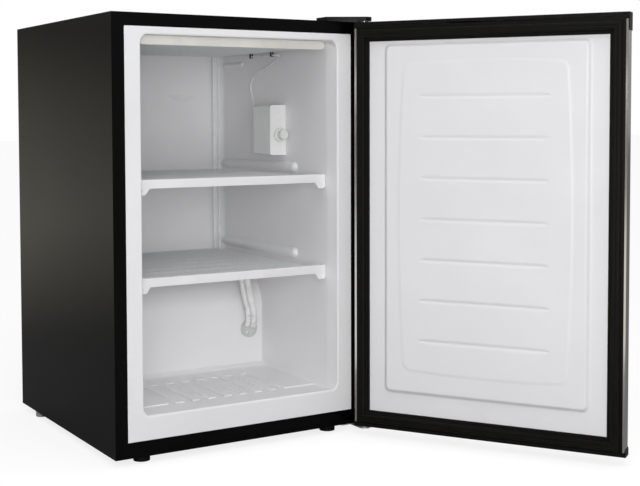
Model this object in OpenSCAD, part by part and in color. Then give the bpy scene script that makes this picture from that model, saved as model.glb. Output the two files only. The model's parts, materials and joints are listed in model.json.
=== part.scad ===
/* [Cabinet] */
// Outer width of the cabinet
cab_w = 546; // [530:1:570]
// Outer depth of the cabinet without its door
cab_d = 544; // [535:1:560]
// Height of the cabinet body above its feet
cab_h = 830; // [826:1:850]
// Height of the feet
foot_h = 14; // [13:0.5:18]
// Thickness of the sheet steel
sheet = 1; // [0.8:0.1:1.2]
// Width of the steel flange round the front
frame_w = 25; // [22:1:28]
// Height of the rail under the opening
rail_h = 30; // [26:1:32]

/* [Compartment] */
// Half of the opening's width at the front
open_half = 215; // [205:1:216]
// How much narrower each side of the compartment is at the back
taper = 12; // [4:1:14]
// Height of the opening's lower lip above the base
lip_z = 76; // [72:1:80]
// Height of the compartment floor above the base
floor_z = 73; // [70:1:75]
// How much the floor steps up behind its front strip
deck_rise = 2; // [1.5:0.5:4]
// Height of the opening's top above the base
open_top = 790; // [780:1:794]
// Height of the compartment ceiling above the base
ceil_z = 792; // [788:1:796]
// Depth position of the compartment's back wall
back_y = 223; // [215:1:226]
// Depth position of the step's front wall
step_y = 33; // [20:1:45]
// Height of the step over the compressor bay
step_z = 278; // [270:1:290]
// Thickness of the plastic liner
liner_t = 2; // [1.5:0.5:2.5]

/* [Shelves] */
// Height of the upper shelf's top above the base
upper_shelf_z = 518; // [480:1:560]
// Height of the lower shelf's top above the base
lower_shelf_z = 330; // [310:1:360]
// Number of tube runs in each evaporator shelf
tube_runs = 7; // [5:2:9]
// Distance between tube runs
tube_pitch = 60; // [50:1:64]
// Diameter of the evaporator tube
tube_d = 8; // [6:0.5:8]
// Distance between the shelf wires
wire_pitch = 7; // [7:0.5:14]
// Diameter of a shelf wire
wire_d = 1.6; // [1.4:0.1:2]

/* [Door] */
// Width of the door
door_w = 550; // [540:1:560]
// Height of the door
door_h = 824; // [816:1:826]
// Thickness of the door from its inner face to its outer face
door_t = 42; // [38:1:50]
// Radius of the door's outer vertical edges
door_r = 18; // [8:1:22]
// Gap between the cabinet's front and the door's inner face
door_gap = 13; // [12:0.5:14]
// How far the hinge pin is from the door's side edge
pin_side = 14; // [10:1:18]
// How far the hinge pin is from the door's inner face
pin_deep = 17; // [14:1:20]
// Angle that the door stands open, from closed
open_angle = 122; // [0:1:130]

/* [Thermostat] */
// Height of the thermostat box
stat_h = 108; // [90:1:120]
// Depth of the thermostat box
stat_d = 74; // [60:1:80]
// Diameter of the knob
knob_d = 24; // [20:1:28]

/* [Hidden] */

$fn = 48;
eps = 0.05;
base_z = foot_h;
half_w = cab_w / 2;
front_y = -cab_d / 2;
rear_y = cab_d / 2;
in_half = half_w - sheet - 0.1;
liner_half = half_w - frame_w - 0.2;
back_half = open_half - taper;

// Compressor bay
bay_y = 82;
bay_h = 232;
tray_t = 2;
can_x = -90;
can_y = 176;
can_r = 68;
can_z0 = 31;
can_h = 150;
seam_z = 105;

// Compartment details
deck_y = -197;
deck_z = floor_z + deck_rise;
fold_y = -240;

// Feet
front_foot_x = 208;
front_foot_y = -241;
rear_foot_x = 255;
rear_foot_y = 190;
front_pad_r = 16;
rear_pad_r = 14;
stem_r = 4;
run_clear = 0.05;

// Shelves
bend_r = tube_pitch / 2;
run_half = 156;
first_run_y = -tube_pitch * (tube_runs - 1) / 2;
last_run_y = -first_run_y;
shelf_drop = 9;
wire_rise = tube_d / 2 + wire_d / 2 + eps;
wire_front_y = -228;
wire_back_y = 203;
wire_count = floor(2 * 181 / wire_pitch);
trim_y = -236;
trim_d = 14;
trim_h = 17;
ear_h = 12;
return_x = -197.4;
return_y = 212;
riser_x = [178, 191];
riser_y = return_y;
top_tube_z = ceil_z - 9.5;
upper_tube_z = upper_shelf_z - shelf_drop;
lower_tube_z = lower_shelf_z - shelf_drop;

// Thermostat
stat_x0 = 168;
stat_x1 = 209;
stat_y0 = -77;
stat_z0 = 554;
knob_x = 191;
knob_z = 598;
shaft_r = 3;

// Door
door_z0 = 3;
door_z1 = door_z0 + door_h;
door_half = door_w / 2;
inner_y = front_y - door_gap;
outer_y = inner_y - door_t;
cap_h = 13;
foot_cap_h = 9;
flange_w = 7.4;
skin_t = 1;
panel_y = inner_y - skin_t;
pin_x = door_half - pin_side;
pin_y = inner_y - pin_deep;
pin_r = 4;
bush_r = 8;
plate_t = 2.5;
gasket_out = door_half - 8;
gasket_in = door_half - 33.5;
gasket_z0 = 12.9;
gasket_z1 = 812.5;
gasket_w = 25.5;
gasket_top_y = front_y - 0.3;
plug_half = 208;
plug_z0 = 80;
plug_z1 = 781;
plug_rise = 7;
plug_slope = 6;
groove_h = 7;
groove_half = 132;
groove_z = [for (i = [0:6]) 190 + 81 * i];

white = "whitesmoke";
black = [0.05, 0.05, 0.055];
steel = "silver";
copper = [0.72, 0.45, 0.3];

// ---------- helpers ----------

function arc_pts(c, r, a0, a1, n = 10) =
  [for (i = [0:n]) let (a = a0 + (a1 - a0) * i / n) c + r * [cos(a), sin(a)]];

function unit(v) = v / norm(v);

// Extrudes an outline of (y, z) points along X, centred on x = 0
module along_x(w) rotate([90, 0, 90]) linear_extrude(height = w, center = true) children();

// Extrudes an outline of (x, z) points along Y from y0 to y1
module along_y(y0, y1) translate([0, y1, 0]) rotate([90, 0, 0]) linear_extrude(height = y1 - y0) children();

module block(x0, x1, y0, y1, z0, z1) translate([x0, y0, z0]) cube([x1 - x0, y1 - y0, z1 - z0]);

module mirrored() {
  children();
  mirror([1, 0, 0]) children();
}

// A straight bar of round section between two points
module bar(a, b, d) {
  v = b - a;
  translate(a) rotate([0, acos(v[2] / norm(v)), atan2(v[1], v[0])]) cylinder(h = norm(v), d = d);
}

// Tangent length used at a rounded corner of a pipe route
function corner_len(p, i, r) =
  i == 0 || i == len(p) - 1 ? 0
  : let (a = unit(p[i] - p[i - 1]), b = unit(p[i + 1] - p[i])) r * tan(acos(max(-1, min(1, a * b))) / 2);

// A round pipe along a route of points, with bends of radius r at its corners
module pipe(p, r, d) {
  for (i = [0:len(p) - 2]) {
    u = unit(p[i + 1] - p[i]);
    s = p[i] + u * corner_len(p, i, r);
    e = p[i + 1] - u * corner_len(p, i + 1, r);
    if ((e - s) * u > 0.01) bar(s, e, d);
  }
  for (i = [1:1:len(p) - 2]) {
    a = unit(p[i] - p[i - 1]);
    b = unit(p[i + 1] - p[i]);
    n = unit(cross(a, b));
    m = cross(n, a);
    c = p[i] - a * corner_len(p, i, r) + m * r;
    turn = acos(max(-1, min(1, a * b)));
    multmatrix([
      [-m[0], a[0], n[0], c[0]],
      [-m[1], a[1], n[1], c[1]],
      [-m[2], a[2], n[2], c[2]],
      [0, 0, 0, 1]
    ]) rotate_extrude(angle = turn) translate([r, 0]) circle(d = d);
  }
}

// Points of a smooth curve through the points p, with n steps between each pair
function spline(p, n) = [
  for (i = [0:len(p) - 2], k = [0:n - 1])
    let (t = k / n, a = p[max(i - 1, 0)], b = p[i], c = p[i + 1], d = p[min(i + 2, len(p) - 1)])
      0.5 * ((2 * b) + (c - a) * t + (2 * a - 5 * b + 4 * c - d) * t * t + (3 * b - a - 3 * c + d) * t * t * t),
  p[len(p) - 1]
];

function heading(p, i) = unit(p[min(i + 1, len(p) - 1)] - p[max(i - 1, 0)]);

// Side directions of a tube, carried along its route from the direction u without twisting
function side_dirs(p, u, i = 0) =
  i == len(p) ? [] : let (t = heading(p, i), v = unit(u - (u * t) * t)) concat([v], side_dirs(p, v, i + 1));

// A thin tube swept along points; side is any direction across its start
module swept(p, d, side, sides = 8) {
  n = len(p);
  us = side_dirs(p, side);
  rings = [
    for (i = [0:n - 1]) let (v = cross(heading(p, i), us[i]))
      for (k = [0:sides - 1]) p[i] + d / 2 * (us[i] * cos(360 * k / sides) - v * sin(360 * k / sides))
  ];
  walls = [
    for (i = [0:n - 2], k = [0:sides - 1])
      let (a = i * sides + k, b = i * sides + (k + 1) % sides) [a, b, b + sides, a + sides]
  ];
  first = [for (k = [sides - 1:-1:0]) k];
  last = [for (k = [0:sides - 1]) (n - 1) * sides + k];
  polyhedron(points = rings, faces = concat([first], walls, [last]), convexity = 10);
}

// A pan-head screw standing on z = 0, with a cross recess in its head
module screw(head_r, head_h, shank_r, shank_l) {
  difference() {
    cylinder(h = head_h, r = head_r);
    for (a = [0, 90]) rotate([0, 0, a])
      translate([-head_r * 0.6, -head_r * 0.13, head_h * 0.5]) cube([head_r * 1.2, head_r * 0.26, head_h]);
  }
  translate([0, 0, -shank_l]) cylinder(h = shank_l + eps, r = shank_r);
}

// ---------- cabinet ----------

module cabinet_shell() {
  color(black) translate([0, 0, base_z]) {
    difference() {
      block(-half_w, half_w, front_y, rear_y, 0, cab_h);
      block(-half_w + sheet, half_w - sheet, front_y + sheet, rear_y + 1, -1, cab_h - sheet);
      block(-half_w + frame_w, half_w - frame_w, front_y - 1, front_y + 2, -1, cab_h - frame_w);
      block(-half_w - 1, half_w + 1, front_y - 1, front_y + sheet + 0.1, -1, rail_h + 0.1);
    }
    // Turned-in edge behind the flange
    difference() {
      block(-half_w + frame_w - sheet, half_w - frame_w + sheet, front_y + sheet, front_y + 9,
            rail_h + 2, cab_h - frame_w + sheet);
      block(-half_w + frame_w, half_w - frame_w, front_y, front_y + 10, 0, cab_h - frame_w);
    }
  }
}

module front_rail() {
  color(black) translate([0, 0, base_z]) difference() {
    union() {
      block(-half_w, half_w, front_y, front_y + sheet, 0, rail_h);
      block(-in_half, in_half, front_y + sheet - eps, front_y + 12.9, rail_h - sheet - 1, rail_h - 1);
      block(-in_half, in_half, front_y + sheet - eps, front_y + 22, 0, sheet);
    }
    for (x = [-261, 261]) translate([x, front_y - 1, 10.6]) rotate([-90, 0, 0]) cylinder(h = 3, r = 2.05);
  }
}

module base_pan() {
  color(steel) translate([0, 0, base_z]) difference() {
    union() {
      block(-in_half, in_half, front_y + sheet + 0.1, bay_y, sheet, 2 * sheet);
      block(-in_half, in_half, bay_y - sheet, bay_y, sheet, bay_h);
      block(-in_half, in_half, bay_y - sheet, rear_y - 4.2, bay_h - sheet, bay_h);
    }
    for (x = [-front_foot_x, front_foot_x])
      translate([x, front_foot_y, -1]) cylinder(h = 6, r = stem_r + 1);
    for (x = [-261, 261])
      translate([x, front_y + sheet - 1, 10.6]) rotate([-90, 0, 0]) cylinder(h = 20, r = 2.2);
    translate([171.8, bay_y - 3, 150]) rotate([-90, 0, 0]) cylinder(h = 6, r = 9);
  }
}

panel_z0 = bay_h - sheet;
screw_x = [-255, -128, 0, 128, 255];
screw_z = [245, 815];

module panel_screw_spots() for (x = screw_x, z = screw_z) translate([x, 0, z]) children();

module back_panel() {
  color(black) translate([0, 0, base_z]) difference() {
    union() {
      block(-in_half, in_half, rear_y - 4, rear_y - 3, panel_z0, cab_h - sheet - 0.1);
      for (x = [-170, 0, 170])
        along_y(rear_y - 3 - eps, rear_y - 0.8) translate([x, 530]) {
          square([34, 420], center = true);
          for (z = [-210, 210]) translate([0, z]) circle(r = 17);
        }
    }
    panel_screw_spots() translate([0, rear_y - 6, 0]) rotate([-90, 0, 0]) cylinder(h = 4, r = 2.1);
  }
}

module panel_screws() {
  color(steel) translate([0, 0, base_z]) panel_screw_spots()
    translate([0, rear_y - 3, 0]) rotate([-90, 0, 0]) screw(4, 2.2, 2, 9);
}

// ---------- compartment ----------

function plan_pts(g, y0) = concat(
  [[-(open_half + g), y0], [open_half + g, y0]],
  [[open_half + g, front_y + 4], [open_half - 5.4 + g, fold_y], [open_half - 6.2 + g, fold_y + 6]],
  arc_pts([back_half - 25, back_y - 25], 25 + g, 0, 90, 8),
  arc_pts([-(back_half - 25), back_y - 25], 25 + g, 90, 180, 8),
  [[-(open_half - 6.2) - g, fold_y + 6], [-(open_half - 5.4) - g, fold_y], [-(open_half + g), front_y + 4]]
);

function side_pts(g, y0) = concat(
  [[y0, lip_z - g], [front_y + 16, lip_z - g], [front_y + 26, floor_z - g]],
  [[deck_y - 1, floor_z - g], [deck_y + 2, deck_z - g]],
  arc_pts([step_y - 20, deck_z + 20], 20 + g, -90, 0, 6),
  arc_pts([step_y + 65, step_z - 65], 65 - g, 180, 90, 12),
  arc_pts([back_y - 12, step_z + 12], 12 + g, -90, 0, 5),
  arc_pts([back_y - 15, ceil_z - 15], 15 + g, 0, 90, 5),
  [[front_y + 20, ceil_z + g], [front_y + 10, open_top + g], [y0, open_top + g]]
);

function front_pts(g) = concat(
  arc_pts([open_half - 20, floor_z + 20], 20 + g, -90, 0, 7),
  arc_pts([open_half - 20, ceil_z - 20], 20 + g, 0, 90, 7),
  arc_pts([-(open_half - 20), ceil_z - 20], 20 + g, 90, 180, 7),
  arc_pts([-(open_half - 20), floor_z + 20], 20 + g, 180, 270, 7)
);

// Eight shallow channels in the raised floor, running back to front
module floor_channels(g) for (i = [-3.5:3.5])
  block(i * 35 - 9 - g, i * 35 + 9 + g, deck_y - 2 - g, -30 + g, floor_z - g, deck_z + 1);

// A half-moon scoop in the upper back wall, deepest along its straight top edge
module wall_recess(g) intersection() {
  translate([102.5, back_y - 111.1, 722.8]) sphere(r = 122.2 + g, $fn = 96);
  block(40, 165, back_y - 1, back_y + 12, 640, 688 + g);
}

module cavity(g, y0) translate([0, 0, base_z]) {
  intersection() {
    translate([0, 0, 20]) linear_extrude(height = cab_h) polygon(plan_pts(g, y0));
    along_x(cab_w) polygon(side_pts(g, y0));
    along_y(y0, back_y + g + 1) polygon(front_pts(g));
  }
  floor_channels(g);
  wall_recess(g);
}

// Round-nosed rails moulded in the side walls, from y0 to the back
module side_rail(x, y0, z, r) intersection() {
  mirrored() translate([x, y0 + r, base_z + z]) {
    rotate([-90, 0, 0]) cylinder(h = back_y - y0, r = r);
    sphere(r = r);
  }
  cavity(liner_t / 2, front_y);
}

module inner_liner() {
  color(white) {
    difference() {
      union() {
        translate([0, 0, base_z])
          block(-liner_half, liner_half, front_y, front_y + liner_t, rail_h + 0.2, cab_h - frame_w - 0.2);
        cavity(liner_t, front_y + 1);
      }
      cavity(0, front_y - 1);
    }
    side_rail(209, -125, upper_shelf_z + 10, 12);
    side_rail(209, -125, lower_shelf_z + 14, 12);
    side_rail(205.5, 110, 757, 6.5);
  }
}

module insulation_foam() {
  color("khaki") difference() {
    translate([0, 0, base_z]) block(-in_half, in_half, front_y + 13, rear_y - 4.1, 2 * sheet, cab_h - sheet - 0.1);
    cavity(liner_t + eps, front_y);
    translate([0, 0, base_z]) {
      block(-half_w, half_w, bay_y - sheet - eps, rear_y, 0, bay_h + eps);
      // Pockets for the condenser coils against the side panels
      mirrored() block(in_half - 6.2, half_w, -232, 214, 250, 780);
      for (x = [-front_foot_x, front_foot_x]) translate([x, front_foot_y, 0]) cylinder(h = 32, r = 14);
      panel_screw_spots() translate([0, rear_y - 20, 0]) rotate([-90, 0, 0]) cylinder(h = 20, r = 2.3);
      translate([171.8, 20, 161.2]) rotate([-90, 0, 0]) cylinder(h = 80, r = 14);
    }
  }
}

// Zigzag tube bonded inside each side panel
module condenser_coils() {
  coil_d = 5;
  coil_x = in_half - coil_d / 2 - eps;
  runs = [for (i = [0:6]) 300 + i * 70];
  route = [
    for (i = [0:6]) let (back = i % 2 == 0) each [
      [coil_x, back ? -200 : 190, runs[i]],
      [coil_x, back ? 190 : -200, runs[i]]
    ]
  ];
  color(copper) translate([0, 0, base_z]) mirrored() pipe(route, 34.9, coil_d);
}

// ---------- compressor bay ----------

module compressor_tray() {
  color(steel) translate([0, 0, base_z]) difference() {
    union() {
      block(-in_half, in_half, bay_y + 0.1, rear_y - 1, 0, tray_t);
      block(-in_half, in_half, rear_y - 3, rear_y - 1, tray_t - eps, 12);
      block(170, 230, rear_y - 12, rear_y - 10, tray_t - eps, 44);
    }
    translate([200, rear_y - 20, 28]) rotate([-90, 0, 0]) cylinder(h = 20, r = 9);
    for (x = [-rear_foot_x, rear_foot_x]) translate([x, rear_foot_y, -1]) cylinder(h = 5, r = 3.1);
    grommet_spots() translate([0, 0, -1]) cylinder(h = 5, r = 3.9);
  }
}

module grommet_spots() for (x = [-78, 78], y = [-45, 45]) translate([can_x + x, can_y + y, 0]) children();

module can_profile() {
  dome = 34;
  polygon(concat(
    [[0, can_z0 + 2.6]],
    arc_pts([can_r - dome, can_z0 + 2.6 + dome], dome, -90, 0, 12),
    arc_pts([can_r - dome, can_z0 + can_h - dome], dome, 0, 90, 12),
    [[0, can_z0 + can_h]]
  ));
}

module compressor_can() {
  color(black) translate([can_x, can_y, base_z]) {
    rotate_extrude($fn = 96) can_profile();
    translate([0, 0, seam_z]) cylinder(h = 4, r = can_r + 3.5, $fn = 96);
    // Tube stubs
    translate([0, 0, 140]) rotate([0, 90, 150]) translate([0, 0, can_r - 12]) cylinder(h = 24, r = 4);
    translate([0, 0, 150]) rotate([0, 90, 35]) translate([0, 0, can_r - 16]) cylinder(h = 28, r = 4.5);
  }
}

module compressor_bracket() {
  color(black) translate([0, 0, base_z]) difference() {
    union() {
      block(can_x - 92, can_x + 92, can_y - 60, can_y - 30, can_z0, can_z0 + 2.5);
      block(can_x - 92, can_x + 92, can_y + 30, can_y + 60, can_z0, can_z0 + 2.5);
      block(can_x - 30, can_x + 30, can_y - 31, can_y + 31, can_z0, can_z0 + 2.5);
    }
    grommet_spots() translate([0, 0, can_z0 - 1]) cylinder(h = 5, r = 8);
  }
}

module compressor_grommets() {
  color([0.12, 0.12, 0.12]) translate([0, 0, base_z]) grommet_spots() difference() {
    union() {
      translate([0, 0, tray_t]) cylinder(h = can_z0 - tray_t - eps, r = 12);
      translate([0, 0, can_z0 - 1]) cylinder(h = 5, r = 7.9);
      translate([0, 0, can_z0 + 2.6]) cylinder(h = 3, r = 11);
    }
    translate([0, 0, 0]) cylinder(h = 60, r = 4);
  }
}

module grommet_bolts() {
  color(steel) translate([0, 0, base_z]) grommet_spots() {
    translate([0, 0, tray_t - 1.5]) cylinder(h = can_z0 + 8, r = 3.8);
    translate([0, 0, can_z0 + 5.7]) cylinder(h = 3, r = 8, $fn = 6);
  }
}

module terminal_cover() {
  color(black) translate([0, 0, base_z]) difference() {
    block(can_x + 50, can_x + can_r + 30, can_y - 32, can_y + 26, 44, 100);
    translate([can_x, can_y, 0]) cylinder(h = 200, r = can_r + 0.2, $fn = 96);
  }
}

drier_x = 90;
drier_y = 130;

module filter_drier() {
  color(copper) translate([drier_x, drier_y, base_z]) rotate_extrude() polygon([
    [0, 60], [3, 60], [3, 72], [11, 84], [11, 150], [3, 162], [3, 172], [0, 172]
  ]);
}

discharge_dir = [cos(150), sin(150), 0];
suction_dir = [cos(35), sin(35), 0];

module discharge_line() {
  start = [can_x, can_y, 140] + discharge_dir * (can_r + 12.1);
  color(copper) translate([0, 0, base_z]) swept(spline([
    start, start + discharge_dir * 14, [-186, 233, 146], [-190, 238, 166], [-205, 240, 184],
    [-224, 240, 192], [-230, 240, 210], [-230, 240, 230.4]
  ], 4), 5, [0, 0, 1], 10);
}

module suction_line() {
  start = [can_x, can_y, 150] + suction_dir * (can_r + 12.1);
  color(copper) translate([0, 0, base_z]) swept(spline([
    start, start + suction_dir * 14, [14, 240, 152], [44, 242, 164], [90, 240, 184],
    [128, 233, 194], [140, 230, 210], [140, 230, 230.4]
  ], 4), 7, [0, 0, 1], 10);
}

function coil_pts(c, r, pitch, turns, n) =
  [for (i = [0:turns * n]) c + [r * cos(360 * i / n), r * sin(360 * i / n), pitch * i / n]];

// Thin tube from the drier, coiled once above it and led up into the cabinet
module capillary_tube() {
  coil_r = 22;
  loops = coil_pts([drier_x + coil_r, drier_y, 176], coil_r, 4, 3, 20);
  color(copper) translate([0, 0, base_z]) swept(concat(
    [[drier_x, drier_y, 172.1], [drier_x, drier_y - 0.6, 175], [drier_x + 0.2, drier_y - 3, 177.3]],
    [for (i = [11:len(loops) - 1]) loops[i]],
    spline([[drier_x + 44.6, drier_y + 7, 191], [drier_x + 46, drier_y + 12, 206], [drier_x + 46, drier_y + 13, 230.6]], 5)
  ), 2.4, [1, 0, 0], 6);
}

module cord_gland() {
  color(black) translate([200, 0, base_z + 28]) difference() {
    union() {
      translate([0, rear_y - 16, 0]) rotate([-90, 0, 0]) cylinder(h = 14, r = 8.9);
      translate([0, rear_y - 9.9, 0]) rotate([-90, 0, 0]) cylinder(h = 3, r = 12);
      translate([0, rear_y - 16, 0]) rotate([-90, 0, 0]) cylinder(h = 3.9, r = 12);
    }
    translate([0, rear_y - 20, 0]) rotate([-90, 0, 0]) cylinder(h = 30, r = 3.8);
  }
}

// ---------- evaporator shelves ----------

// Zigzag tube with its return along the left side and the back
module evaporator_tube(z) {
  zigzag = [
    for (i = [tube_runs - 1:-1:0]) let (y = first_run_y + i * tube_pitch, leftward = (tube_runs - 1 - i) % 2 == 0)
      each (leftward
        ? [[i == tube_runs - 1 ? run_half + 4 : run_half + bend_r, y, z], [-run_half - (i == 0 ? 0 : bend_r), y, z]]
        : [[-run_half - bend_r, y, z], [run_half + bend_r, y, z]])
  ];
  back_home = [[return_x, first_run_y, z], [return_x, return_y, z], [riser_x[0] - 9, return_y, z]];
  zig = [for (i = [0:len(zigzag) - 2]) zigzag[i]];
  color(steel) translate([0, 0, base_z]) pipe(concat(zig, back_home), bend_r - 1, tube_d);
}

// Straight wires welded above and below the tube
module evaporator_wires(z) {
  color("gainsboro") translate([0, 0, base_z]) for (i = [0:wire_count]) {
    x = (i - wire_count / 2) * wire_pitch;
    for (s = [-1, 1]) bar([x, wire_front_y, z + s * wire_rise], [x, wire_back_y, z + s * wire_rise], wire_d);
  }
}

// Front bar of a shelf, with an ear at each end and a slot for the wires
module shelf_trim(z) {
  color(white) translate([0, 0, base_z]) difference() {
    union() {
      block(-208, 208, trim_y, trim_y + trim_d, z - trim_h, z);
      mirrored() along_y(trim_y, trim_y + trim_d)
        polygon([[208, z - trim_h - ear_h + 3], [205, z - trim_h - ear_h], [192, z - trim_h - ear_h],
                 [184, z - trim_h], [184, z - 1], [208, z - 1]]);
    }
    block(-188, 188, trim_y + 4, trim_y + trim_d + 1, z - shelf_drop - 6.6, z - shelf_drop + 6.6);
    mirrored() translate([201, trim_y - 1, z - trim_h - 4]) rotate([-90, 0, 0]) cylinder(h = 3, r = 2.4);
  }
}

module top_evaporator_tube() evaporator_tube(top_tube_z);
module upper_shelf_tube() evaporator_tube(upper_tube_z);
module lower_shelf_tube() evaporator_tube(lower_tube_z);
module top_evaporator_wires() evaporator_wires(top_tube_z);
module upper_shelf_wires() evaporator_wires(upper_tube_z);
module lower_shelf_wires() evaporator_wires(lower_tube_z);
module upper_shelf_trim() shelf_trim(upper_shelf_z);
module lower_shelf_trim() shelf_trim(lower_shelf_z);

module top_evaporator_trim() {
  color("linen") translate([0, 0, base_z]) difference() {
    along_y(trim_y - 3, trim_y + trim_d - 3) translate([0, top_tube_z]) {
      square([394, 18], center = true);
      for (s = [-1, 1]) translate([s * 197, 0]) circle(r = 9);
    }
    block(-188, 188, trim_y + 1, trim_y + trim_d, top_tube_z - 6.6, top_tube_z + 6.6);
  }
}

// Ledges on the back wall under the shelf wires, and ceiling hangers between the top wires
module shelf_clips() {
  color(white) translate([0, 0, base_z]) {
    for (x = [-140, 140], z = [upper_tube_z, lower_tube_z]) {
      low = z - wire_rise - wire_d / 2 - eps;
      block(x - 9, x + 9, 194, back_y - eps, low - 3, low);
      block(x - 9, x + 9, back_y - 3, back_y - eps, low - 12, low - 2.9);
    }
    for (x = [-140, 140], y = [-2, 2] * tube_pitch)
      block(x - 2, x + 2, y - 5, y + 5, top_tube_z + tube_d / 2 + eps, ceil_z - eps);
  }
}

// Upright tubes that join the shelves in the back corner
module evaporator_risers() {
  riser_d = 6.5;
  branch_d = 4.8;
  color(steel) translate([0, 0, base_z]) {
    for (x = riser_x) bar([x, riser_y, lower_tube_z - 6], [x, riser_y, top_tube_z + 4], riser_d);
    for (z = [top_tube_z, upper_tube_z, lower_tube_z]) {
      bar([riser_x[0] - 8.9, return_y, z], [riser_x[0], riser_y, z], branch_d);
      pipe([[run_half + 4.1, last_run_y, z], [riser_x[1], last_run_y, z], [riser_x[1], riser_y, z]], 12, branch_d);
    }
  }
}

// ---------- pipe entry in the step wall ----------

grommet_x = 171.8;
grommet_z = 161.2;

module pipe_sleeves() {
  color(white) translate([0, 0, base_z]) {
    swept(spline([
      [146, 25, 313], [147, 21, 280], [153.4, 20, 240], [160.6, 20, 210], [164, 19.5, 194],
      [165, 22, 180], [165, 26, 172], [165, 30, 171]
    ], 4), 11, [1, 0, 0], 12);
    swept(spline([
      [160, 24, 313], [161, 20, 280], [167.4, 19, 240], [174.4, 19, 210], [177.8, 19, 194],
      [178.6, 21, 179], [178.6, 25, 170], [178.6, 29.8, 169]
    ], 4), 15, [1, 0, 0], 12);
  }
}

module wall_grommet() {
  color("lightgray") translate([grommet_x, 0, base_z + grommet_z]) difference() {
    union() {
      translate([0, step_y - 2, 0]) rotate([-90, 0, 0]) cylinder(h = 2 - eps, r = 20);
      translate([0, step_y - 4, 0]) rotate([-90, 0, 0]) difference() {
        cylinder(h = 3, r = 20);
        translate([0, 0, -1]) cylinder(h = 5, r = 18.3);
      }
    }
    translate([-5, step_y - 5, -9]) rotate([-90, 0, 0]) cylinder(h = 6, r = 3.4);
  }
}

// ---------- thermostat ----------

module thermostat_housing() {
  y1 = stat_y0 + stat_d;
  z1 = stat_z0 + stat_h;
  color(white) translate([0, 0, base_z]) difference() {
    union() {
      along_y(stat_y0, y1) polygon(concat(
        [[stat_x1 - 4, stat_z0], [stat_x1 - 4, z1]],
        arc_pts([stat_x0 + 6, z1 - 6], 6, 90, 180, 5),
        arc_pts([stat_x0 + 6, stat_z0 + 6], 6, 180, 270, 5)
      ));
      intersection() {
        block(stat_x1 - 4 - eps, stat_x1 + 10, stat_y0, y1, stat_z0, z1);
        translate([0, 0, -base_z]) cavity(-0.2, front_y);
      }
    }
    block(stat_x0 + 2, stat_x1 + 12, stat_y0 + 2, y1 - 2, stat_z0 + 2, z1 - 2);
    translate([knob_x, stat_y0 - 1, knob_z]) rotate([-90, 0, 0]) cylinder(h = 4, r = 5.2);
    translate([188, stat_y0 - 1, 629]) rotate([-90, 0, 0]) cylinder(h = 4, r = 2.1);
    translate([188, y1 - 3, 629]) rotate([-90, 0, 0]) cylinder(h = 4, r = 2.1);
    translate([196, y1 - 3, z1 - 12]) rotate([-90, 0, 0]) cylinder(h = 6, r = 2.2);
  }
}

module thermostat_switch() {
  color(steel) translate([0, 0, base_z]) difference() {
    union() {
      block(knob_x - 14, knob_x + 14, stat_y0 + 2.2, stat_y0 + 34, knob_z - 24, knob_z + 20);
      translate([knob_x, stat_y0 - 2, knob_z]) rotate([-90, 0, 0]) cylinder(h = 6, r = 5);
    }
    translate([knob_x, stat_y0 - 3, knob_z]) rotate([-90, 0, 0]) cylinder(h = 25, r = shaft_r + run_clear);
  }
}

module thermostat_shaft() {
  color("goldenrod") translate([knob_x, stat_y0 - 14, base_z + knob_z]) rotate([-90, 0, 0]) cylinder(h = 34, r = shaft_r);
}

module thermostat_knob() {
  base_h = 4.5;
  grip_h = 14;
  grip_r = knob_d / 2 - 1.5;
  color(white) translate([knob_x, stat_y0 - 2.3, base_z + knob_z]) rotate([90, 0, 0]) difference() {
    union() {
      cylinder(h = base_h, r = knob_d / 2 + 3, $fn = 64);
      translate([0, 0, base_h - eps]) cylinder(h = grip_h, r = grip_r, $fn = 64);
    }
    // Finger scallops round the grip
    for (a = [22.5:45:359]) rotate([0, 0, a]) translate([grip_r + 1.4, 0, base_h]) cylinder(h = grip_h + 1, r = 2.8);
    // Ring and pointer sunk in the end face
    translate([0, 0, base_h + grip_h - 1.2]) difference() {
      cylinder(h = 3, r = 6.4);
      translate([0, 0, -1]) cylinder(h = 5, r = 4.2);
    }
    translate([-0.8, 3, base_h + grip_h - 1.2]) cube([1.6, 7, 3]);
    translate([0, 0, -1]) cylinder(h = 12.9, r = shaft_r);
    translate([0, 0, -1]) cylinder(h = 2.7, r = 6);
  }
}

module thermostat_screws() {
  y1 = stat_y0 + stat_d;
  color(steel) translate([0, 0, base_z]) {
    translate([188, stat_y0, 629]) rotate([90, 0, 0]) screw(2.9, 1.2, 2, 12);
    translate([188, y1, 629]) rotate([-90, 0, 0]) screw(3.6, 2, 2, 12);
  }
}

module sensor_tube() {
  color(white) translate([0, 0, base_z]) swept(spline([
    [196, -1, 650], [197, 14, 651], [199, 36, 656], [200, 54, 668], [201, 68, 688], [201, 71, 708],
    [201, 58, 726], [201, 34, 737], [200, 6, 744], [200, -26, 752], [199, -52, 760], [197, -66, 766],
    [193, -70, 770], [191, -58, 770.5], [190, -30, 770.5], [190, 30, 770.5], [190, 62, 770.5]
  ], 4), 3.6, [0, 0, 1], 8);
}

module sensor_clips() {
  color(black) translate([0, 0, base_z]) for (y = [-46, 48]) difference() {
    block(187.1, 193.5, y - 3, y + 3, 767.4, 777.2);
    block(187.9, 192.7, y - 4, y + 4, 768.2, 776.4);
  }
}

// ---------- hinges ----------

// Plan of the top hinge plate, grown by g: a foot on the cabinet and an arm slanting out to the pin
module top_plate_outline(g) {
  translate([190 - g, -272 - g]) square([81 + 2 * g, 34 + 2 * g]);
  polygon([[190 - g, -271.5 - g], [pin_x - 9.2 - 0.7 * g, pin_y - 9.2 - 0.7 * g], [pin_x + 13 + g, pin_y],
           [pin_x + 13 + g, -262], [200, -262]]);
  translate([pin_x, pin_y]) circle(r = 13 + g);
}

hinge_holes = [[204, -254], [228, -254], [254, -254]];
foot_holes = [[240, -240], [260, -240]];

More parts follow.
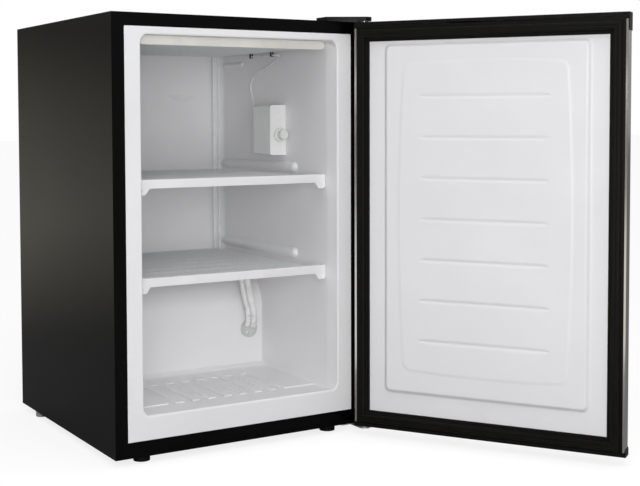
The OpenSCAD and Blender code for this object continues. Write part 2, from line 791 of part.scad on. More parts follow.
module top_hinge_plate() {
  color(steel) translate([0, 0, base_z + cab_h]) difference() {
    linear_extrude(height = plate_t) top_plate_outline(0);
    translate([pin_x, pin_y, -1]) cylinder(h = 5, r = pin_r);
    for (p = hinge_holes) translate([p[0], p[1], -1]) cylinder(h = 5, r = 2.6);
  }
}

module top_hinge_pin() {
  color(steel) translate([pin_x, pin_y, base_z]) {
    translate([0, 0, door_z1 - 11]) cylinder(h = cab_h + plate_t - door_z1 + 11, r = pin_r);
    translate([0, 0, cab_h + plate_t]) cylinder(h = 1.5, r = pin_r + 2);
  }
}

module top_hinge_cover() {
  color(black) translate([0, 0, base_z + cab_h]) difference() {
    linear_extrude(height = 8) top_plate_outline(2);
    translate([0, 0, -1]) linear_extrude(height = 7.4) top_plate_outline(0.4);
  }
}

module bottom_plate_outline() {
  translate([pin_x - 13, pin_y]) square([26, -pin_y - 225]);
  translate([pin_x, pin_y]) circle(r = 13);
  translate([228, -268]) square([30, 43]);
}

module bottom_hinge_plate() {
  color(steel) translate([0, 0, base_z - 3]) difference() {
    linear_extrude(height = 3) bottom_plate_outline();
    translate([pin_x, pin_y, -1]) cylinder(h = 5, r = pin_r);
    for (p = foot_holes) translate([p[0], p[1], -1]) cylinder(h = 5, r = 2.6);
  }
}

module bottom_hinge_pin() {
  color(steel) translate([pin_x, pin_y, base_z]) {
    translate([0, 0, -3]) cylinder(h = door_z0 + foot_cap_h + 2.8, r = pin_r);
    translate([0, 0, 0]) difference() {
      cylinder(h = door_z0 - 0.3, r = pin_r + 3);
      translate([0, 0, -1]) cylinder(h = 9, r = pin_r - 1);
    }
  }
}

module hinge_screws() {
  color(steel) translate([0, 0, base_z]) {
    for (p = hinge_holes) translate([p[0], p[1], cab_h + plate_t]) screw(4.6, 2.4, 2.5, plate_t);
    for (p = foot_holes) translate([p[0], p[1], -3]) rotate([180, 0, 0]) screw(4.6, 2.4, 2.5, 3);
  }
}

module rail_screws() {
  color(steel) translate([0, 0, base_z])
    for (x = [-261, 261]) translate([x, front_y, 10.6]) rotate([90, 0, 0]) screw(4, 2, 2, 10);
}

// ---------- feet ----------

module rear_feet() {
  color("darkgray") for (x = [-rear_foot_x, rear_foot_x]) translate([x, rear_foot_y, 0]) {
    cylinder(h = base_z, r = rear_pad_r);
    translate([0, 0, base_z - eps]) cylinder(h = tray_t + eps, r = 3);
  }
}

module front_foot(x) translate([x, front_foot_y, 0]) {
  color(black) difference() {
    cylinder(h = 9, r = front_pad_r);
    for (a = [0:30:359]) rotate([0, 0, a]) translate([front_pad_r + 0.6, 0, 2.5]) cylinder(h = 9, r = 1.6);
  }
  color(steel) translate([0, 0, 9 - eps]) cylinder(h = base_z + 26 - 9, r = stem_r);
}

module front_foot_left() front_foot(-front_foot_x);
module front_foot_right() front_foot(front_foot_x);

module foot_nuts() {
  color(steel) for (x = [-front_foot_x, front_foot_x]) translate([x, front_foot_y, base_z + 2 * sheet]) difference() {
    cylinder(h = 11, r = 9, $fn = 6);
    translate([0, 0, -1]) cylinder(h = 13, r = stem_r + run_clear);
  }
}

// ---------- door ----------

// Turns a part of the closed door about the hinge pin to where it stands open
module door_pose() translate([pin_x, pin_y, 0]) rotate([0, 0, open_angle]) translate([-pin_x, -pin_y, base_z]) children();

// Plan outline of the door, g in from its faces, up to y = top
function door_outline(g, top) = concat(
  [[door_half - g, top], [-door_half + g, top]],
  arc_pts([-door_half + door_r, outer_y + door_r], door_r - g, 180, 270, 10),
  arc_pts([door_half - door_r, outer_y + door_r], door_r - g, 270, 360, 10)
);

module door_skin() {
  color("silver") door_pose() translate([0, 0, door_z0 + foot_cap_h])
    linear_extrude(height = door_h - foot_cap_h - cap_h) difference() {
      polygon(door_outline(0, inner_y));
      polygon(door_outline(skin_t, panel_y));
      translate([-door_half + flange_w, panel_y - 1]) square([door_w - 2 * flange_w, 3]);
    }
}

// Raised panel of the door's inner face, grown by g
module plug(g) intersection() {
  translate([0, 0, plug_z0 - 2 * g]) linear_extrude(height = plug_z1 - plug_z0 + 4 * g) polygon([
    [-plug_half - g, panel_y - 1], [plug_half + g, panel_y - 1], [plug_half + g, panel_y],
    [plug_half - plug_slope + g, panel_y + plug_rise + g], [-plug_half + plug_slope - g, panel_y + plug_rise + g],
    [-plug_half - g, panel_y]
  ]);
  along_x(door_w) polygon([
    [panel_y - 1, plug_z0 - g], [panel_y - 1, plug_z1 + g], [panel_y, plug_z1 + g],
    [panel_y + plug_rise + g, plug_z1 - plug_slope + g], [panel_y + plug_rise + g, plug_z0 + plug_slope - g],
    [panel_y, plug_z0 - g]
  ]);
}

module door_grooves() for (z = groove_z) along_y(panel_y + plug_rise - 2, panel_y + plug_rise + 1) translate([0, z])
  polygon([[-groove_half, 0], [-groove_half + 22, groove_h / 2], [groove_half - 22, groove_h / 2],
           [groove_half, 0], [groove_half - 22, -groove_h / 2], [-groove_half + 22, -groove_h / 2]]);

module door_liner() {
  t = 2.5;
  color(white) door_pose() difference() {
    union() {
      block(-door_half + skin_t + 0.1, door_half - skin_t - 0.1, panel_y - t, panel_y,
            door_z0 + foot_cap_h + 0.1, door_z1 - cap_h - 0.1);
      plug(0);
    }
    plug(-3);
    block(-plug_half + 3, plug_half - 3, panel_y - t - 1, panel_y - 0.9, plug_z0 + 3, plug_z1 - 3);
    door_grooves();
  }
}

module door_foam() {
  color("khaki") door_pose() {
    translate([0, 0, door_z0 + foot_cap_h + 0.1]) linear_extrude(height = door_h - foot_cap_h - cap_h - 0.2)
      polygon(door_outline(skin_t + 0.1, panel_y - 2.6));
    block(-plug_half + 24, plug_half - 24, panel_y - 2.7, panel_y + plug_rise - 3.2, plug_z0 + 24, plug_z1 - 24);
  }
}

module gasket_ring(out, wide, y0, y1) {
  over = gasket_out - out;
  along_y(y0, y1) difference() {
    translate([-out, gasket_z0 + over]) square([2 * out, gasket_z1 - gasket_z0 - 2 * over]);
    translate([-out + wide, gasket_z0 + over + wide]) square([2 * (out - wide), gasket_z1 - gasket_z0 - 2 * (over + wide)]);
  }
}

module door_gasket() {
  color(black) door_pose() difference() {
    union() {
      gasket_ring(gasket_out, gasket_w, panel_y, panel_y + 4);
      gasket_ring(gasket_out - 2, gasket_w - 8, panel_y + 4 - eps, gasket_top_y);
    }
    gasket_ring(gasket_out - 3.2, 11.6, gasket_top_y - 5.2, gasket_top_y - 1);
  }
}

module door_magnets() {
  color([0.25, 0.2, 0.18]) door_pose() gasket_ring(gasket_out - 3.5, 11, gasket_top_y - 5, gasket_top_y - 1.2);
}

// End cap of the door: a plate over the end, with a lip round the two outer corners of the skin
module end_cap(z0, z1, ear_z0, ear_z1) {
  ear_t = 1.6;
  translate([0, 0, z0]) linear_extrude(height = z1 - z0) polygon(door_outline(0, inner_y));
  for (s = [-1, 1]) intersection() {
    difference() {
      translate([0, 0, ear_z0]) linear_extrude(height = ear_z1 - ear_z0) polygon(door_outline(-ear_t, inner_y));
      translate([0, 0, ear_z0 < z0 ? ear_z0 - 1 : z1])
        linear_extrude(height = max(z0 - ear_z0, ear_z1 - z1) + 1) polygon(door_outline(-0.05, inner_y + 1));
    }
    translate([s * (door_half - door_r + ear_t) - (s < 0 ? door_r + 5 : 0), outer_y - 5, ear_z0])
      cube([door_r + 5, door_t + 10, ear_z1 - ear_z0]);
  }
}

module bush_hole(z0, z1) translate([pin_x, pin_y, z0]) cylinder(h = z1 - z0, r = bush_r);

module door_top_cap() {
  color(black) door_pose() difference() {
    end_cap(door_z1 - cap_h, door_z1, door_z1 - 33, door_z1);
    bush_hole(door_z1 - cap_h - 1, door_z1 + 1);
    // Row of small vent slots facing the cabinet
    for (x = [-246:38:220]) block(x, x + 18, inner_y - 2, inner_y + 1, door_z1 - 8.5, door_z1 - 6);
  }
}

module door_bottom_cap() {
  color(black) door_pose() difference() {
    end_cap(door_z0, door_z0 + foot_cap_h, door_z0, door_z0 + 13);
    bush_hole(door_z0 - 1, door_z0 + foot_cap_h + 1);
  }
}

module door_bushes() {
  color("white") door_pose() {
    for (z = [[door_z0, door_z0 + foot_cap_h], [door_z1 - cap_h, door_z1]]) difference() {
      translate([pin_x, pin_y, z[0]]) cylinder(h = z[1] - z[0], r = bush_r - eps);
      translate([pin_x, pin_y, z[0] - 1]) cylinder(h = z[1] - z[0] + 2, r = pin_r + run_clear);
    }
  }
}

cabinet_shell();
front_rail();
base_pan();
back_panel();
inner_liner();
insulation_foam();
condenser_coils();
compressor_tray();
compressor_can();
compressor_bracket();
compressor_grommets();
grommet_bolts();
terminal_cover();
filter_drier();
discharge_line();
suction_line();
capillary_tube();
cord_gland();
top_evaporator_tube();
top_evaporator_wires();
top_evaporator_trim();
upper_shelf_tube();
upper_shelf_wires();
upper_shelf_trim();
lower_shelf_tube();
lower_shelf_wires();
lower_shelf_trim();
shelf_clips();
evaporator_risers();
pipe_sleeves();
wall_grommet();
thermostat_housing();
thermostat_switch();
thermostat_shaft();
thermostat_knob();
thermostat_screws();
sensor_tube();
sensor_clips();
top_hinge_plate();
top_hinge_pin();
top_hinge_cover();
bottom_hinge_plate();
bottom_hinge_pin();
hinge_screws();
rail_screws();
panel_screws();
rear_feet();
front_foot_left();
front_foot_right();
foot_nuts();
door_skin();
door_foam();
door_liner();
door_gasket();
door_magnets();
door_top_cap();
door_bottom_cap();
door_bushes();
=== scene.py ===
import json
import math

import bmesh
import bpy
import numpy as np
from mathutils import Matrix, Vector


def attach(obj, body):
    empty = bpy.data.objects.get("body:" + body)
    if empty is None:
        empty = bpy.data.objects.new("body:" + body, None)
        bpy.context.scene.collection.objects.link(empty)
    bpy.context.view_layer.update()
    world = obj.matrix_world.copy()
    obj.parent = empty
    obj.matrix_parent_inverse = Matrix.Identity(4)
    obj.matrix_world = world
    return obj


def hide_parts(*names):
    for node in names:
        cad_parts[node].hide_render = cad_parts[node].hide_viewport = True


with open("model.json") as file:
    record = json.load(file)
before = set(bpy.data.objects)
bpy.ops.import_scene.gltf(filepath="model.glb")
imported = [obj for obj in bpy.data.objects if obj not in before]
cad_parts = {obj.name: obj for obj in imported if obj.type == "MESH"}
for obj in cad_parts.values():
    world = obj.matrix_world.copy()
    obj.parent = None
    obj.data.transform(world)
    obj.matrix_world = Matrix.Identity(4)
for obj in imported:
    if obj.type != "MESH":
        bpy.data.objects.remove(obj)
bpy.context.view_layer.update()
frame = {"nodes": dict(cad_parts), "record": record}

nodes = frame["nodes"]
slot_of = {s["node"]: s["material_slot"] for s in frame["record"]["subparts"]}
door_nodes = [n for n in nodes if n.startswith("door_")]


def body_of(node):
    if node in door_nodes:
        return "door"
    return {"thermostat_shaft": "knob", "thermostat_knob": "knob",
            "front_foot_left": "left_foot", "front_foot_right": "right_foot"}.get(node, "cabinet")


# ---------- materials ----------

def shader(name, color, rough, metal=0.0, coat=0.0, spec=0.5, spread=0.06, scale=18.0, stretch=(1, 1, 1),
           rough_spread=0.08, bump=0.05, bump_scale=900.0, bump_depth=0.0002, worn=None, stains=None):
    """A principled material whose colour, roughness and relief all vary a little over the surface."""
    m = bpy.data.materials.new(name)
    m.use_nodes = True
    nt = m.node_tree
    b = nt.nodes["Principled BSDF"]
    link, new = nt.links.new, nt.nodes.new
    b.inputs["Metallic"].default_value = metal
    b.inputs["Coat Weight"].default_value = coat
    b.inputs["Coat Roughness"].default_value = 0.12
    b.inputs["Specular IOR Level"].default_value = spec
    tc, mp = new("ShaderNodeTexCoord"), new("ShaderNodeMapping")
    mp.inputs["Scale"].default_value = stretch
    link(tc.outputs["Object"], mp.inputs["Vector"])
    broad = new("ShaderNodeTexNoise")
    broad.inputs["Scale"].default_value = scale
    broad.inputs["Detail"].default_value = 5
    link(mp.outputs["Vector"], broad.inputs["Vector"])
    ramp = new("ShaderNodeValToRGB")
    lo = [max(c * (1 - spread), 0) for c in color]
    hi = [min(c * (1 + spread), 1) for c in color]
    ramp.color_ramp.elements[0].position, ramp.color_ramp.elements[0].color = 0.3, (*lo, 1)
    ramp.color_ramp.elements[1].position, ramp.color_ramp.elements[1].color = 0.7, (*hi, 1)
    link(broad.outputs["Fac"], ramp.inputs["Fac"])
    out = ramp.outputs["Color"]
    if worn:
        # Edges lighter or darker than the faces, from the local curvature
        geo, edge = new("ShaderNodeNewGeometry"), new("ShaderNodeMapRange")
        edge.inputs["From Min"].default_value, edge.inputs["From Max"].default_value = 0.52, 0.6
        link(geo.outputs["Pointiness"], edge.inputs["Value"])
        mix = new("ShaderNodeMix")
        mix.data_type = "RGBA"
        link(edge.outputs["Result"], mix.inputs["Factor"])
        link(out, mix.inputs["A"])
        mix.inputs["B"].default_value = (*worn, 1)
        out = mix.outputs["Result"]
    if stains:
        spots, gate = new("ShaderNodeTexNoise"), new("ShaderNodeMapRange")
        spots.inputs["Scale"].default_value = stains[1]
        spots.inputs["Detail"].default_value = 8
        link(tc.outputs["Object"], spots.inputs["Vector"])
        gate.inputs["From Min"].default_value, gate.inputs["From Max"].default_value = 0.56, 0.74
        link(spots.outputs["Fac"], gate.inputs["Value"])
        mix = new("ShaderNodeMix")
        mix.data_type = "RGBA"
        link(gate.outputs["Result"], mix.inputs["Factor"])
        link(out, mix.inputs["A"])
        mix.inputs["B"].default_value = (*stains[0], 1)
        out = mix.outputs["Result"]
    link(out, b.inputs["Base Color"])
    r = new("ShaderNodeMapRange")
    r.inputs["To Min"].default_value = max(rough * (1 - rough_spread * 2), 0.02)
    r.inputs["To Max"].default_value = min(rough * (1 + rough_spread * 2), 1)
    link(broad.outputs["Fac"], r.inputs["Value"])
    link(r.outputs["Result"], b.inputs["Roughness"])
    fine, bp = new("ShaderNodeTexNoise"), new("ShaderNodeBump")
    fine.inputs["Scale"].default_value = bump_scale
    fine.inputs["Detail"].default_value = 3
    link(mp.outputs["Vector"], fine.inputs["Vector"])
    bp.inputs["Strength"].default_value = bump
    bp.inputs["Distance"].default_value = bump_depth
    link(fine.outputs["Fac"], bp.inputs["Height"])
    link(bp.outputs["Normal"], b.inputs["Normal"])
    return m


WHITE = (0.88, 0.875, 0.885)
mats = {
    "black_steel": shader("black_gloss_paint", (0.0012, 0.0012, 0.001), 0.26, spec=0.14, spread=0.2, scale=6,
                          bump=0.06, bump_scale=420, bump_depth=0.0002, rough_spread=0.08),
    "zinc_steel": shader("zinc_plated_steel", (0.66, 0.67, 0.66), 0.34, metal=0.75, spread=0.14, scale=160,
                         rough_spread=0.2, bump=0.12, bump_scale=700, stains=((0.42, 0.42, 0.4), 40)),
    "liner_plastic": shader("moulded_white_liner", WHITE, 0.36, coat=0.06, spread=0.018, scale=7,
                            bump=0.05, bump_scale=520, bump_depth=0.0003, rough_spread=0.12),
    "foam": shader("rigid_foam", (0.8, 0.7, 0.42), 0.9, spread=0.12, scale=90, bump=0.7, bump_scale=600,
                   bump_depth=0.0008, rough_spread=0.04),
    "condenser_tube": shader("lacquered_tube", (0.42, 0.24, 0.15), 0.38, metal=0.8, spread=0.16, scale=60),
    "compressor_paint": shader("compressor_enamel", (0.012, 0.012, 0.013), 0.38, coat=0.2, spread=0.25, scale=30,
                               bump=0.2, bump_scale=300, worn=(0.05, 0.05, 0.05)),
    "rubber_black": shader("gasket_rubber", (0.0055, 0.0053, 0.0045), 0.55, spec=0.1, spread=0.22, scale=50,
                           bump=0.12, bump_scale=1100, rough_spread=0.14),
    "plastic_black": shader("grained_black_plastic", (0.004, 0.004, 0.004), 0.4, spec=0.16, spread=0.2, scale=70,
                            bump=0.3, bump_scale=1500, bump_depth=0.00015, rough_spread=0.12),
    "copper_pipe": shader("copper_tube", (0.72, 0.36, 0.22), 0.3, metal=1, spread=0.16, scale=70,
                          rough_spread=0.25, stains=((0.32, 0.16, 0.09), 60)),
    "coated_tube": shader("white_coated_tube", (0.86, 0.88, 0.88), 0.33, spread=0.05, scale=60, bump=0.12,
                          bump_scale=700),
    "coated_wire": shader("white_coated_wire", (0.88, 0.9, 0.9), 0.3, spread=0.06, scale=120, bump=0.1,
                          bump_scale=900),
    "trim_white": shader("shelf_trim_plastic", (0.9, 0.89, 0.9), 0.24, coat=0.15, spread=0.02, scale=20,
                         bump=0.03, bump_scale=500),
    "trim_cream": shader("evaporator_trim_plastic", (0.88, 0.86, 0.81), 0.36, spread=0.05, scale=24, bump=0.08,
                         bump_scale=700),
    "sleeve_white": shader("pipe_sleeve_vinyl", (0.88, 0.88, 0.87), 0.36, spread=0.07, scale=50, bump=0.2,
                           bump_scale=500, stains=((0.55, 0.55, 0.54), 55)),
    "grommet_grey": shader("grommet_rubber", (0.62, 0.63, 0.62), 0.5, spread=0.1, scale=60, bump=0.2,
                           bump_scale=900),
    "box_white": shader("thermostat_plastic", (0.89, 0.89, 0.89), 0.34, spread=0.025, scale=30, bump=0.12,
                        bump_scale=1300, bump_depth=0.00012),
    "knob_white": shader("knob_plastic", (0.8, 0.8, 0.79), 0.26, coat=0.1, spread=0.03, scale=40, bump=0.05,
                         bump_scale=900),
    "shaft_brass": shader("shaft_brass", (0.7, 0.54, 0.26), 0.28, metal=1, spread=0.1, scale=140),
    "foot_grey": shader("foot_plastic", (0.36, 0.36, 0.35), 0.5, spread=0.1, scale=60, bump=0.2, bump_scale=900),
    "stainless": shader("brushed_stainless", (0.66, 0.645, 0.61), 0.15, metal=1, spread=0.07, scale=30,
                        stretch=(34, 34, 0.6), rough_spread=0.2, bump=0.12, bump_scale=34, bump_depth=0.0001),
    "magnet_strip": shader("magnet_strip", (0.07, 0.055, 0.045), 0.6, spread=0.15, scale=90),
    "bush_plastic": shader("acetal_bush", (0.66, 0.65, 0.6), 0.35, spread=0.05, scale=60),
}


def paint(obj, slot):
    obj.data.materials.clear()
    obj.data.materials.append(mats[slot])


for name, obj in nodes.items():
    for i in range(len(obj.material_slots)):
        obj.material_slots[i].material = mats[slot_of[name]]


# ---------- mesh helpers ----------

def piece(name, bm, slot, body, smooth=35, replaces=()):
    """Turns a bmesh into a piece of the object that rides on a body."""
    me = bpy.data.meshes.new(name)
    bmesh.ops.recalc_face_normals(bm, faces=bm.faces)
    for f in bm.faces:
        f.smooth = True
    for e in bm.edges:
        if len(e.link_faces) == 2 and e.calc_face_angle(0) > math.radians(smooth):
            e.smooth = False
    bm.to_mesh(me)
    bm.free()
    o = bpy.data.objects.new(name, me)
    bpy.context.collection.objects.link(o)
    paint(o, slot)
    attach(o, body)
    if replaces:
        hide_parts(*replaces)
    return o


def soften(node, width, segments=3, limit=50, smooth=35):
    """A copy of a CAD node with its flat faces joined up and its sharp edges rounded."""
    bm = bmesh.new()
    bm.from_mesh(nodes[node].data)
    bmesh.ops.remove_doubles(bm, verts=bm.verts, dist=1e-6)
    bmesh.ops.dissolve_limit(bm, angle_limit=math.radians(0.6), verts=bm.verts, edges=bm.edges)
    o = piece(node + "_soft", bm, slot_of[node], body_of(node), smooth, replaces=[node])
    mod = o.modifiers.new("round", "BEVEL")
    mod.width, mod.segments, mod.limit_method = width, segments, "ANGLE"
    mod.angle_limit = math.radians(limit)
    mod.use_clamp_overlap = True
    mod.harden_normals = True
    mod.miter_outer = "MITER_ARC"
    return o


MM = 0.001
FOOT = 14 * MM
INNER_Y = -285 * MM
DOOR_HALF, DOOR_THICK = 275, 42  # mm
OPEN_DEGREES = 122
PIN = Vector((261 * MM, -302 * MM, 0))
door_turn = (Matrix.Translation(PIN) @ Matrix.Rotation(math.radians(OPEN_DEGREES), 4, "Z")
             @ Matrix.Translation(-PIN))


def on_door(x, proud, z):
    """A point of the closed door, out from its inner face, turned to where the door stands."""
    return door_turn @ Vector((x * MM, INNER_Y + proud * MM, FOOT + z * MM))


def grid(bm, points):
    """Faces over a grid of points, rows by columns."""
    vs = [[bm.verts.new(p) for p in row] for row in points]
    for a, b in zip(vs, vs[1:]):
        for k in range(len(a) - 1):
            bm.faces.new((a[k], a[k + 1], b[k + 1], b[k]))
    return vs


def smooth_step(t):
    t = np.clip(t, 0, 1)
    return t * t * (3 - 2 * t)


# ---------- door liner: one moulded sheet with its raised panel, outline and grooves ----------

def rounded_box(x, z, cx, cz, hx, hz, r):
    """Distance outside a rounded rectangle, negative inside."""
    qx, qz = np.abs(x - cx) - (hx - r), np.abs(z - cz) - (hz - r)
    return np.hypot(np.maximum(qx, 0), np.maximum(qz, 0)) + np.minimum(np.maximum(qx, qz), 0) - r


GROOVES, GROOVE_Z, GROOVE_PITCH, GROOVE_HALF, GROOVE_DEPTH = 7, 190, 81, 132, 2.2  # mm


def liner_height(x, z):
    """How far the moulded sheet stands out of the door's inner face, in mm."""
    rim = rounded_box(x, z, 0, 430.5, 208, 350.5, 13)
    h = -1 + 7 * smooth_step(-rim / 6.5)
    # The barrel-shaped outline is a low step
    bow_x = 12 * (1 - ((z - 435) / 330) ** 2)
    bow_z = 8 * (1 - (x / 190) ** 2)
    inner = rounded_box(x, z, 0, 435, 165 + np.clip(bow_x, -4, 12), 304 + np.clip(bow_z, -3, 8), 15)
    h = h + 0.9 * smooth_step(-inner / 4)
    for k in range(GROOVES):
        zc = GROOVE_Z + GROOVE_PITCH * k
        across = np.clip(1 - np.abs(x) / GROOVE_HALF, 0, 1)
        wide = 4.6 * np.minimum(1, across * 7) ** 0.6 + 0.01
        dip = smooth_step(1 - np.abs(z - zc) / wide) * (across > 0)
        h = h - GROOVE_DEPTH * dip
    return h


xs = np.concatenate([[-273.9, -246], np.linspace(-243, 243, 190), [246, 273.9]])
zs = np.concatenate([[12.1, 30], np.linspace(36, 790, 300), [800, 813.9]])
gx, gz = np.meshgrid(xs, zs)
gh = liner_height(gx, gz)
bm = bmesh.new()
rows = grid(bm, [[on_door(gx[i, j], gh[i, j], gz[i, j]) for j in range(len(xs))] for i in range(len(zs))])
rim_top = rows[0] + [r[-1] for r in rows[1:]] + rows[-1][-2::-1] + [r[0] for r in rows[-2:0:-1]]
inward = (on_door(0, -2.5, 0) - on_door(0, 0, 0))
rim_low = [bm.verts.new(v.co + inward) for v in rim_top]
for k in range(len(rim_top)):
    j = (k + 1) % len(rim_top)
    bm.faces.new((rim_top[k], rim_low[k], rim_low[j], rim_top[j]))
bm.faces.new(rim_low)
piece("door_liner_sheet", bm, "liner_plastic", "door", smooth=60, replaces=["door_liner"])


# ---------- door gasket: one ribbed rubber profile, mitred at its four corners ----------

def gasket():
    """The profile as (inset from the door's edge, height) in mm, from its fin over the steel lip inwards."""
    outline = [(-3.4, 0.05), (-3.5, 0.3), (-3.2, 0.55), (0, 0.8), (0.7, 1.6), (1.9, 2.2), (2.3, 4.2),
               (1.7, 6.4), (2.0, 8.8), (3.0, 11.0), (4.6, 12.3), (6.6, 12.7),
               (9.6, 12.7), (10.4, 12.1), (11.2, 12.7), (14.6, 12.7), (16.6, 12.2), (17.9, 10.6),
               (18.2, 8.2), (17.6, 6.0), (18.2, 4.0), (19.4, 2.8), (21.2, 2.6), (22.2, 3.3), (23.4, 3.2), (24.6, 2.0),
               (25.5, 0.6), (25.5, -1), (0, -1), (0, 0.05)]
    out, z0, z1 = 267.0, 12.9, 812.5
    bm = bmesh.new()
    loops = []
    for d, h in outline:
        loops.append([bm.verts.new(on_door(x, h, z)) for x, z in (
            (-out + d, z0 + d), (out - d, z0 + d), (out - d, z1 - d), (-out + d, z1 - d))])
    for a, b in zip(loops, loops[1:] + loops[:1]):
        for k in range(4):
            j = (k + 1) % 4
            bm.faces.new((a[k], a[j], b[j], b[k]))
    return piece("door_gasket_rubber", bm, "rubber_black", "door", smooth=50, replaces=["door_gasket"])


gasket()


# ---------- door skin: bright sheet wrapped round the edges ----------

def door_outline(inset, top, steps=20, r=18):
    """Plan outline of the closed door, as (x, proud) pairs in mm."""
    pts = [(DOOR_HALF - inset, top), (-DOOR_HALF + inset, top)]
    for c, a0 in (((-DOOR_HALF + r, -DOOR_THICK + r), 180), ((DOOR_HALF - r, -DOOR_THICK + r), 270)):
        for k in range(steps + 1):
            a = math.radians(a0 + 90 * k / steps)
            pts.append((c[0] + (r - inset) * math.cos(a), c[1] + (r - inset) * math.sin(a)))
    return pts


def skin():
    outer = door_outline(0, 0)
    inner = door_outline(1, -1)
    lip = 7.4
    # One strip from the left lip, round the outside, to the right lip
    around = ([(-DOOR_HALF + lip, 0), (-274.4, 0), (-DOOR_HALF, -0.6)] + outer[2:]
              + [(DOOR_HALF, -0.6), (274.4, 0), (DOOR_HALF - lip, 0)])
    back = [(DOOR_HALF - lip, -1)] + [inner[0]] + inner[2:][::-1] + [inner[1]] + [(-DOOR_HALF + lip, -1)]
    ring = around + back
    bm = bmesh.new()
    z0, z1 = 12.0, 814.0
    low = [bm.verts.new(on_door(x, p, z0)) for x, p in ring]
    high = [bm.verts.new(on_door(x, p, z1)) for x, p in ring]
    n = len(ring)
    for k in range(n):
        j = (k + 1) % n
        bm.faces.new((low[k], low[j], high[j], high[k]))
    for cap in (low, high):
        f = bm.faces.new(cap)
        bmesh.ops.triangulate(bm, faces=[f])
    return piece("door_skin_sheet", bm, "stainless", "door", smooth=40, replaces=["door_skin"])


skin()


# ---------- softened copies of the CAD's moulded and folded pieces ----------

def soften_liner():
    """The moulded liner: a full radius round its opening and small ones on the sharper edges near its floor."""
    o = soften("inner_liner", 0.007, segments=5, smooth=15)
    me = o.data
    front = min(v.co.y for v in me.vertices)
    bm = bmesh.new()
    bm.from_mesh(me)
    weight = bm.edges.layers.float.new("bevel_weight_edge")
    for e in bm.edges:
        if len(e.link_faces) != 2:
            continue
        turn = e.calc_face_angle(0)
        mid = (e.verts[0].co + e.verts[1].co) / 2
        at_front = all(abs(v.co.y - front) < 1e-5 for v in e.verts)
        inside = abs(mid.x) < 0.222 and FOOT + 0.06 < mid.z < FOOT + 0.797
        if at_front and inside and turn > 0.5:
            e[weight] = 1.0
        elif turn > 0.7 and inside and mid.y < 0.03 and mid.z < FOOT + 0.08:
            e[weight] = 0.09
    bm.to_mesh(me)
    bm.free()
    o.modifiers["round"].limit_method = "WEIGHT"


soften_liner()

for node, width in {
    "cabinet_shell": 0.0016, "front_rail": 0.0004, "back_panel": 0.0008, "terminal_cover": 0.002,
    "upper_shelf_trim": 0.0014, "lower_shelf_trim": 0.0014, "top_evaporator_trim": 0.0012,
    "thermostat_housing": 0.0009, "thermostat_knob": 0.0007, "top_hinge_cover": 0.0012,
    "top_hinge_plate": 0.0004, "bottom_hinge_plate": 0.0005, "door_top_cap": 0.0007, "door_bottom_cap": 0.0007,
    "shelf_clips": 0.0008, "compressor_bracket": 0.0006, "sensor_clips": 0.0005, "compressor_tray": 0.0004,
}.items():
    soften(node, width)


# ---------- stage, light and camera ----------

def floor_material():
    """Pale floor that the camera sees close to white and that throws little light back."""
    m = bpy.data.materials.new("floor")
    m.use_nodes = True
    nt = m.node_tree
    new, link = nt.nodes.new, nt.links.new
    b = nt.nodes["Principled BSDF"]
    noise, ramp = new("ShaderNodeTexNoise"), new("ShaderNodeValToRGB")
    noise.inputs["Scale"].default_value = 3
    ramp.color_ramp.elements[0].color = (0.3, 0.3, 0.3, 1)
    ramp.color_ramp.elements[1].color = (0.33, 0.33, 0.33, 1)
    link(noise.outputs["Fac"], ramp.inputs["Fac"])
    link(ramp.outputs["Color"], b.inputs["Base Color"])
    b.inputs["Roughness"].default_value = 0.9
    b.inputs["Specular IOR Level"].default_value = 0.0
    b.inputs["Emission Color"].default_value = (1, 1, 1, 1)
    seen = new("ShaderNodeLightPath")
    gain = new("ShaderNodeMath")
    gain.operation = "MULTIPLY"
    gain.inputs[1].default_value = 0.8
    link(seen.outputs["Is Camera Ray"], gain.inputs[0])
    link(gain.outputs["Value"], b.inputs["Emission Strength"])
    return m


bpy.ops.mesh.primitive_plane_add(size=60, location=(0, 0, -0.0005))
floor = bpy.context.object
floor.name = "studio_floor"
floor.data.materials.append(floor_material())

world = bpy.data.worlds.new("studio")
bpy.context.scene.world = world
world.use_nodes = True
wt = world.node_tree
bg = wt.nodes["Background"]
bg.inputs["Color"].default_value = (1, 1, 1, 1)
bg.inputs["Strength"].default_value = 1.0
soft = wt.nodes.new("ShaderNodeBackground")
mixer, path = wt.nodes.new("ShaderNodeMixShader"), wt.nodes.new("ShaderNodeLightPath")
coord, split = wt.nodes.new("ShaderNodeTexCoord"), wt.nodes.new("ShaderNodeSeparateXYZ")
ramp = wt.nodes.new("ShaderNodeValToRGB")
wt.links.new(coord.outputs["Generated"], split.inputs["Vector"])
wt.links.new(split.outputs["Z"], ramp.inputs["Fac"])
ramp.color_ramp.elements[0].position, ramp.color_ramp.elements[0].color = 0.0, (0.4, 0.4, 0.4, 1)
ramp.color_ramp.elements[1].position, ramp.color_ramp.elements[1].color = 0.7, (0.66, 0.66, 0.68, 1)
wt.links.new(ramp.outputs["Color"], soft.inputs["Color"])
soft.inputs["Strength"].default_value = 0.8
wt.links.new(path.outputs["Is Camera Ray"], mixer.inputs["Fac"])
wt.links.new(soft.outputs["Background"], mixer.inputs[1])
wt.links.new(bg.outputs["Background"], mixer.inputs[2])
wt.links.new(mixer.outputs["Shader"], wt.nodes["World Output"].inputs["Surface"])


def area(name, loc, target, size, watts):
    """A rectangular light at loc that points at target."""
    d = bpy.data.lights.new(name, "AREA")
    d.energy, d.shape, d.size, d.size_y = watts, "RECTANGLE", size[0], size[1]
    o = bpy.data.objects.new(name, d)
    bpy.context.collection.objects.link(o)
    o.location = loc
    o.rotation_euler = (Vector(target) - Vector(loc)).to_track_quat("-Z", "Y").to_euler()
    return o


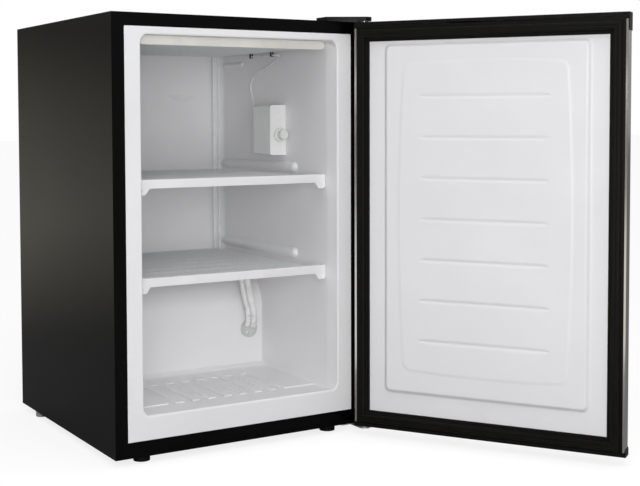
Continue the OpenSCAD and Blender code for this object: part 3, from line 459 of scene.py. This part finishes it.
area("front_fill", (-0.95, -2.45, 0.62), (0.05, 0, 0.45), (1.5, 1.1), 27)
area("overhead", (-0.3, -1.6, 2.4), (0.05, -0.1, 0.3), (1.4, 1.4), 11)


def reflector(name, corners, stops, strength, tint):
    """A glowing card that only glossy surfaces see, with stops of brightness from its foot to its top."""
    m = bpy.data.materials.new(name)
    m.use_nodes = True
    nt = m.node_tree
    new, link = nt.nodes.new, nt.links.new
    nt.nodes.remove(nt.nodes["Principled BSDF"])
    glow, place, split, ramp = (new("ShaderNodeEmission"), new("ShaderNodeTexCoord"),
                                new("ShaderNodeSeparateXYZ"), new("ShaderNodeValToRGB"))
    link(place.outputs["Generated"], split.inputs["Vector"])
    link(split.outputs["Z"], ramp.inputs["Fac"])
    for pos, _ in stops[1:-1]:
        ramp.color_ramp.elements.new(pos)
    for e, (pos, v) in zip(ramp.color_ramp.elements, stops):
        e.position, e.color = pos, (v * tint[0], v * tint[1], v * tint[2], 1)
    link(ramp.outputs["Color"], glow.inputs["Color"])
    glow.inputs["Strength"].default_value = strength
    link(glow.outputs["Emission"], nt.nodes["Material Output"].inputs["Surface"])
    bm = bmesh.new()
    bm.faces.new([bm.verts.new(c) for c in corners])
    me = bpy.data.meshes.new(name)
    bm.to_mesh(me)
    bm.free()
    me.materials.append(m)
    o = bpy.data.objects.new(name, me)
    bpy.context.collection.objects.link(o)
    o.visible_camera = o.visible_diffuse = o.visible_shadow = o.visible_transmission = False


reflector("rear_card", [(-2.6, 1.3, -0.35), (-0.2, 1.3, -0.35), (-0.2, 1.3, 1.0), (-2.6, 1.3, 1.0)],
          [(0.0, 0.01), (0.2, 0.16), (0.5, 1.0), (0.74, 0.64), (1.0, 0.12)], 0.66, (1, 0.97, 0.84))
reflector("left_card", [(-2.8, -2.6, 0.0), (-2.8, -0.1, 0.0), (-2.8, -0.1, 1.1), (-2.8, -2.6, 1.1)],
          [(0.0, 0.9), (0.1, 0.8), (0.23, 0.34), (0.42, 0.2), (0.66, 0.2), (0.72, 1.9), (0.78, 0.2), (1.0, 0.2)],
          1.0, (1, 0.98, 0.94))
reflector("low_card", [(-2.8, -2.6, 0.002), (-0.4, -2.6, 0.002), (-0.4, -0.1, 0.002), (-2.8, -0.1, 0.0021)],
          [(0.0, 1.0), (1.0, 1.0)], 0.9, (1, 0.98, 0.94))

cam = bpy.data.cameras.new("photo_camera")
FOCAL_PX, FRAME_PX = 1208.8, 640
cam.sensor_width = 36
cam.lens = FOCAL_PX / FRAME_PX * 36
cam.shift_y = -0.105
cam_obj = bpy.data.objects.new("photo_camera", cam)
bpy.context.collection.objects.link(cam_obj)
cam_obj.location = (-1.1123, -2.3515, 0.6517)
cam_obj.rotation_euler = (math.radians(87.176), math.radians(0.149), -0.55385)
bpy.context.scene.camera = cam_obj
bpy.context.scene.view_settings.view_transform = "Standard"
